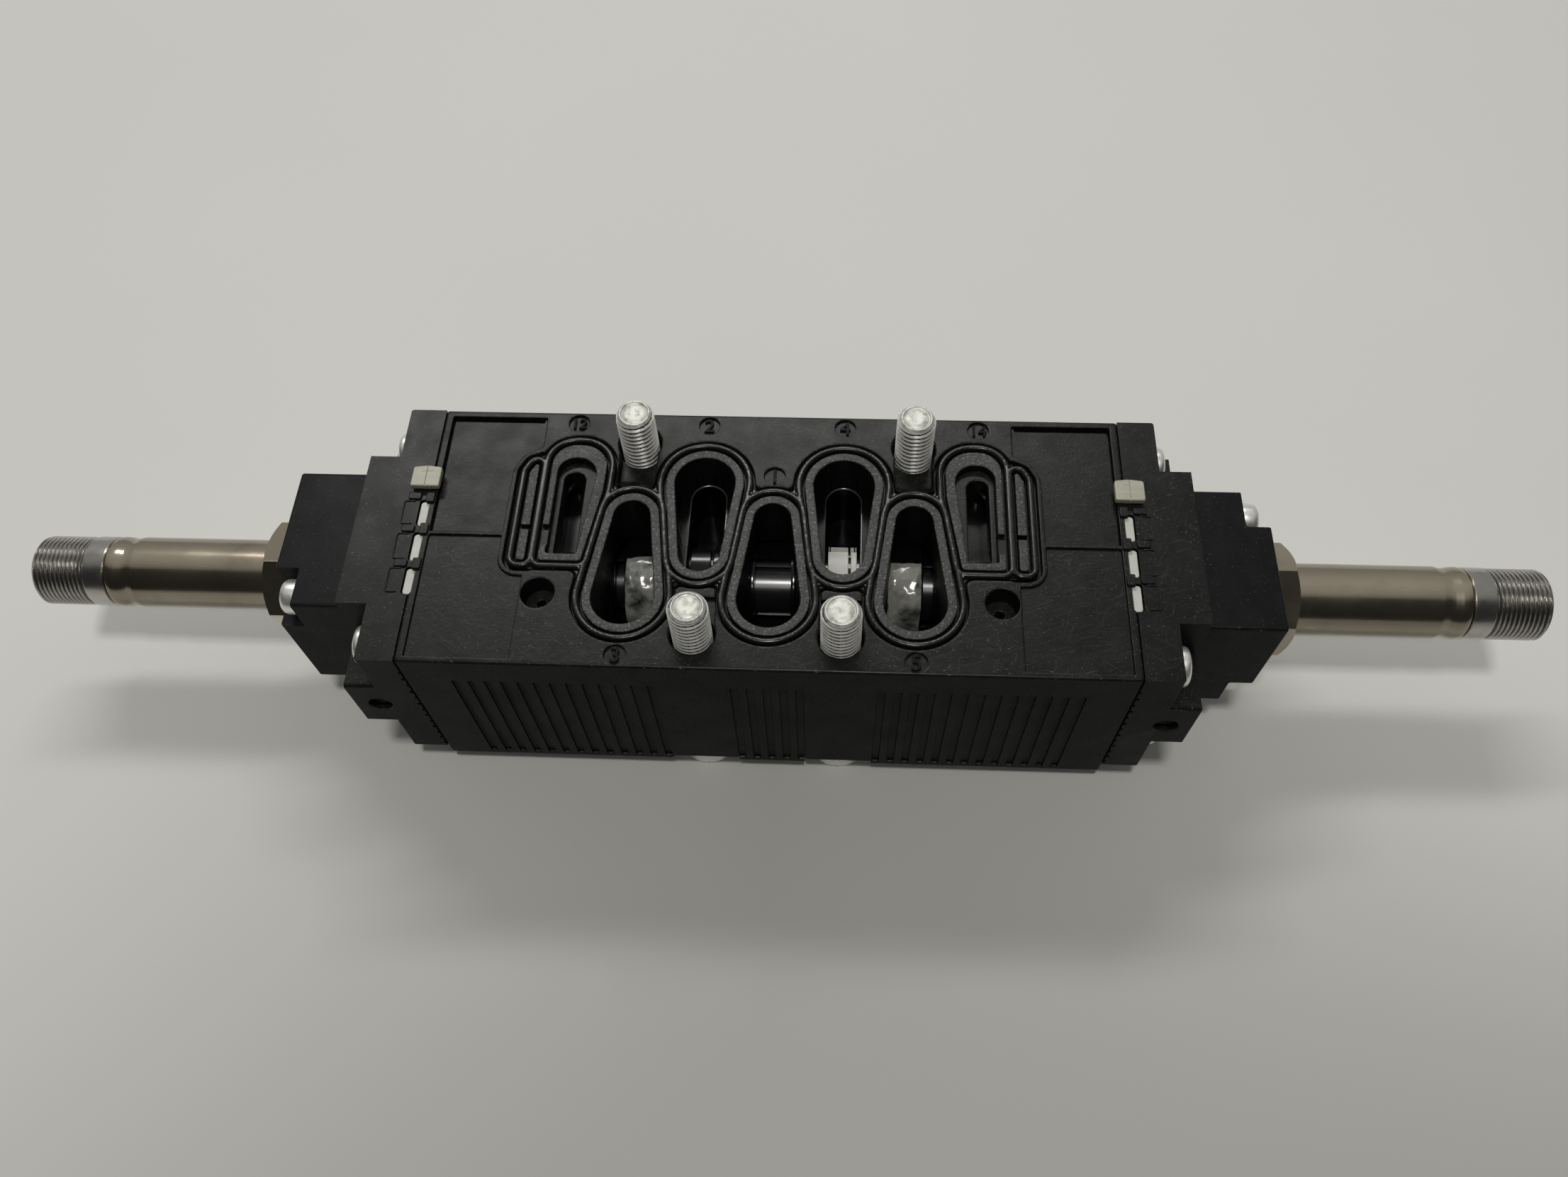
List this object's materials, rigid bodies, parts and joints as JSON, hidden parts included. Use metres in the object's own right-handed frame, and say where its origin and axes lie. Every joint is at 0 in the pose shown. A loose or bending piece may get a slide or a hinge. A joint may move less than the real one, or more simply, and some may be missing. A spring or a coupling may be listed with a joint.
{
  "type": "solenoid directional valve",
  "caption": "Black solenoid spool valve lying face up: teardrop ports in a rubber gasket, captive screws through the body, and a bare armature tube at each end.",
  "frame": {"origin": "bottom centre: on the plane of the four mounting-screw heads that the valve lies on, under the middle of port 1's column", "axes": "+Z out of the mounting face, +X along the spool towards port 14, +Y towards the side with ports 2 and 4"},
  "size_m": [0.2004, 0.0378, 0.0372],
  "materials": {
    "black_moulding": "satin black glass-filled moulding",
    "black_rubber": "smooth, slightly glossy",
    "zinc_screws": "bright zinc plate",
    "white_moulding": "satin white acetal",
    "ivory_moulding": "satin ivory",
    "nickel_plate": "warm nickel plate, polished",
    "grey_steel": "turned stainless steel",
    "spring_steel": "drawn wire",
    "black_anodised": "black anodised, polished, greased",
    "brass": "turned"
  },
  "bodies": {
    "valve_body": {"main_body": "black_moulding", "end_cap_left": "black_moulding", "end_cap_right": "black_moulding", "pilot_body_left": "black_moulding", "pilot_body_right": "black_moulding", "end_bush_left": "black_moulding", "end_bush_right": "black_moulding", "seal_cage_1": "black_moulding", "seal_cage_2": "black_moulding", "seal_cage_3": "black_moulding", "seal_cage_5": "black_moulding", "port_gasket": "black_rubber", "pilot_gasket_left": "black_rubber", "pilot_gasket_right": "black_rubber", "spool_seal_1": "black_rubber", "spool_seal_2": "black_rubber", "spool_seal_3": "black_rubber", "spool_seal_4": "black_rubber", "spool_seal_5": "black_rubber", "spool_seal_6": "black_rubber", "mounting_screw_1": "zinc_screws", "mounting_screw_2": "zinc_screws", "mounting_screw_3": "zinc_screws", "mounting_screw_4": "zinc_screws", "cap_screw_left_1": "zinc_screws", "cap_screw_left_2": "zinc_screws", "cap_screw_left_3": "zinc_screws", "cap_screw_left_4": "zinc_screws", "cap_screw_right_1": "zinc_screws", "cap_screw_right_2": "zinc_screws", "cap_screw_right_3": "zinc_screws", "cap_screw_right_4": "zinc_screws", "pilot_screw_left_1": "zinc_screws", "pilot_screw_left_2": "zinc_screws", "pilot_screw_right_1": "zinc_screws", "pilot_screw_right_2": "zinc_screws", "interface_plate_left": "white_moulding", "interface_plate_right": "white_moulding", "seal_cage_4": "white_moulding", "selector_key_left": "ivory_moulding", "selector_key_right": "ivory_moulding", "armature_tube_left": "nickel_plate", "armature_tube_right": "nickel_plate", "tube_nut_left": "nickel_plate", "tube_nut_right": "nickel_plate", "fixed_core_left": "grey_steel", "fixed_core_right": "grey_steel", "plunger_spring_left": "spring_steel", "plunger_spring_right": "spring_steel", "pilot_seat_left": "brass", "pilot_seat_right": "brass"},
    "spool_set": {"spool": "black_anodised", "piston_left": "white_moulding", "piston_right": "white_moulding", "piston_seal_left": "black_rubber", "piston_seal_right": "black_rubber"},
    "plunger_left_body": {"plunger_left": "grey_steel"},
    "plunger_right_body": {"plunger_right": "grey_steel"},
    "override_left_body": {"manual_override_left": "black_moulding"},
    "override_right_body": {"manual_override_right": "black_moulding"}
  },
  "joints": [
    {"name": "spool_slide", "type": "slide", "parent": "valve_body", "child": "spool_set", "axis": [1, 0, 0], "range_m": [0, 0.005]},
    {"name": "plunger_left_lift", "type": "slide", "parent": "valve_body", "child": "plunger_left_body", "axis": [-1, 0, 0], "range_m": [0, 0.001], "stiffness_N_per_m": 300, "springref_m": -0.002, "deforming": ["plunger_spring_left"]},
    {"name": "plunger_right_lift", "type": "slide", "parent": "valve_body", "child": "plunger_right_body", "axis": [1, 0, 0], "range_m": [0, 0.001], "stiffness_N_per_m": 300, "springref_m": -0.002, "deforming": ["plunger_spring_right"]},
    {"name": "override_left_push", "type": "slide", "parent": "valve_body", "child": "override_left_body", "axis": [0, 1, 0], "range_m": [0, 0.001], "stiffness_N_per_m": 300, "springref_m": -0.002},
    {"name": "override_right_push", "type": "slide", "parent": "valve_body", "child": "override_right_body", "axis": [0, 1, 0], "range_m": [0, 0.001], "stiffness_N_per_m": 300, "springref_m": -0.002}
  ]
}
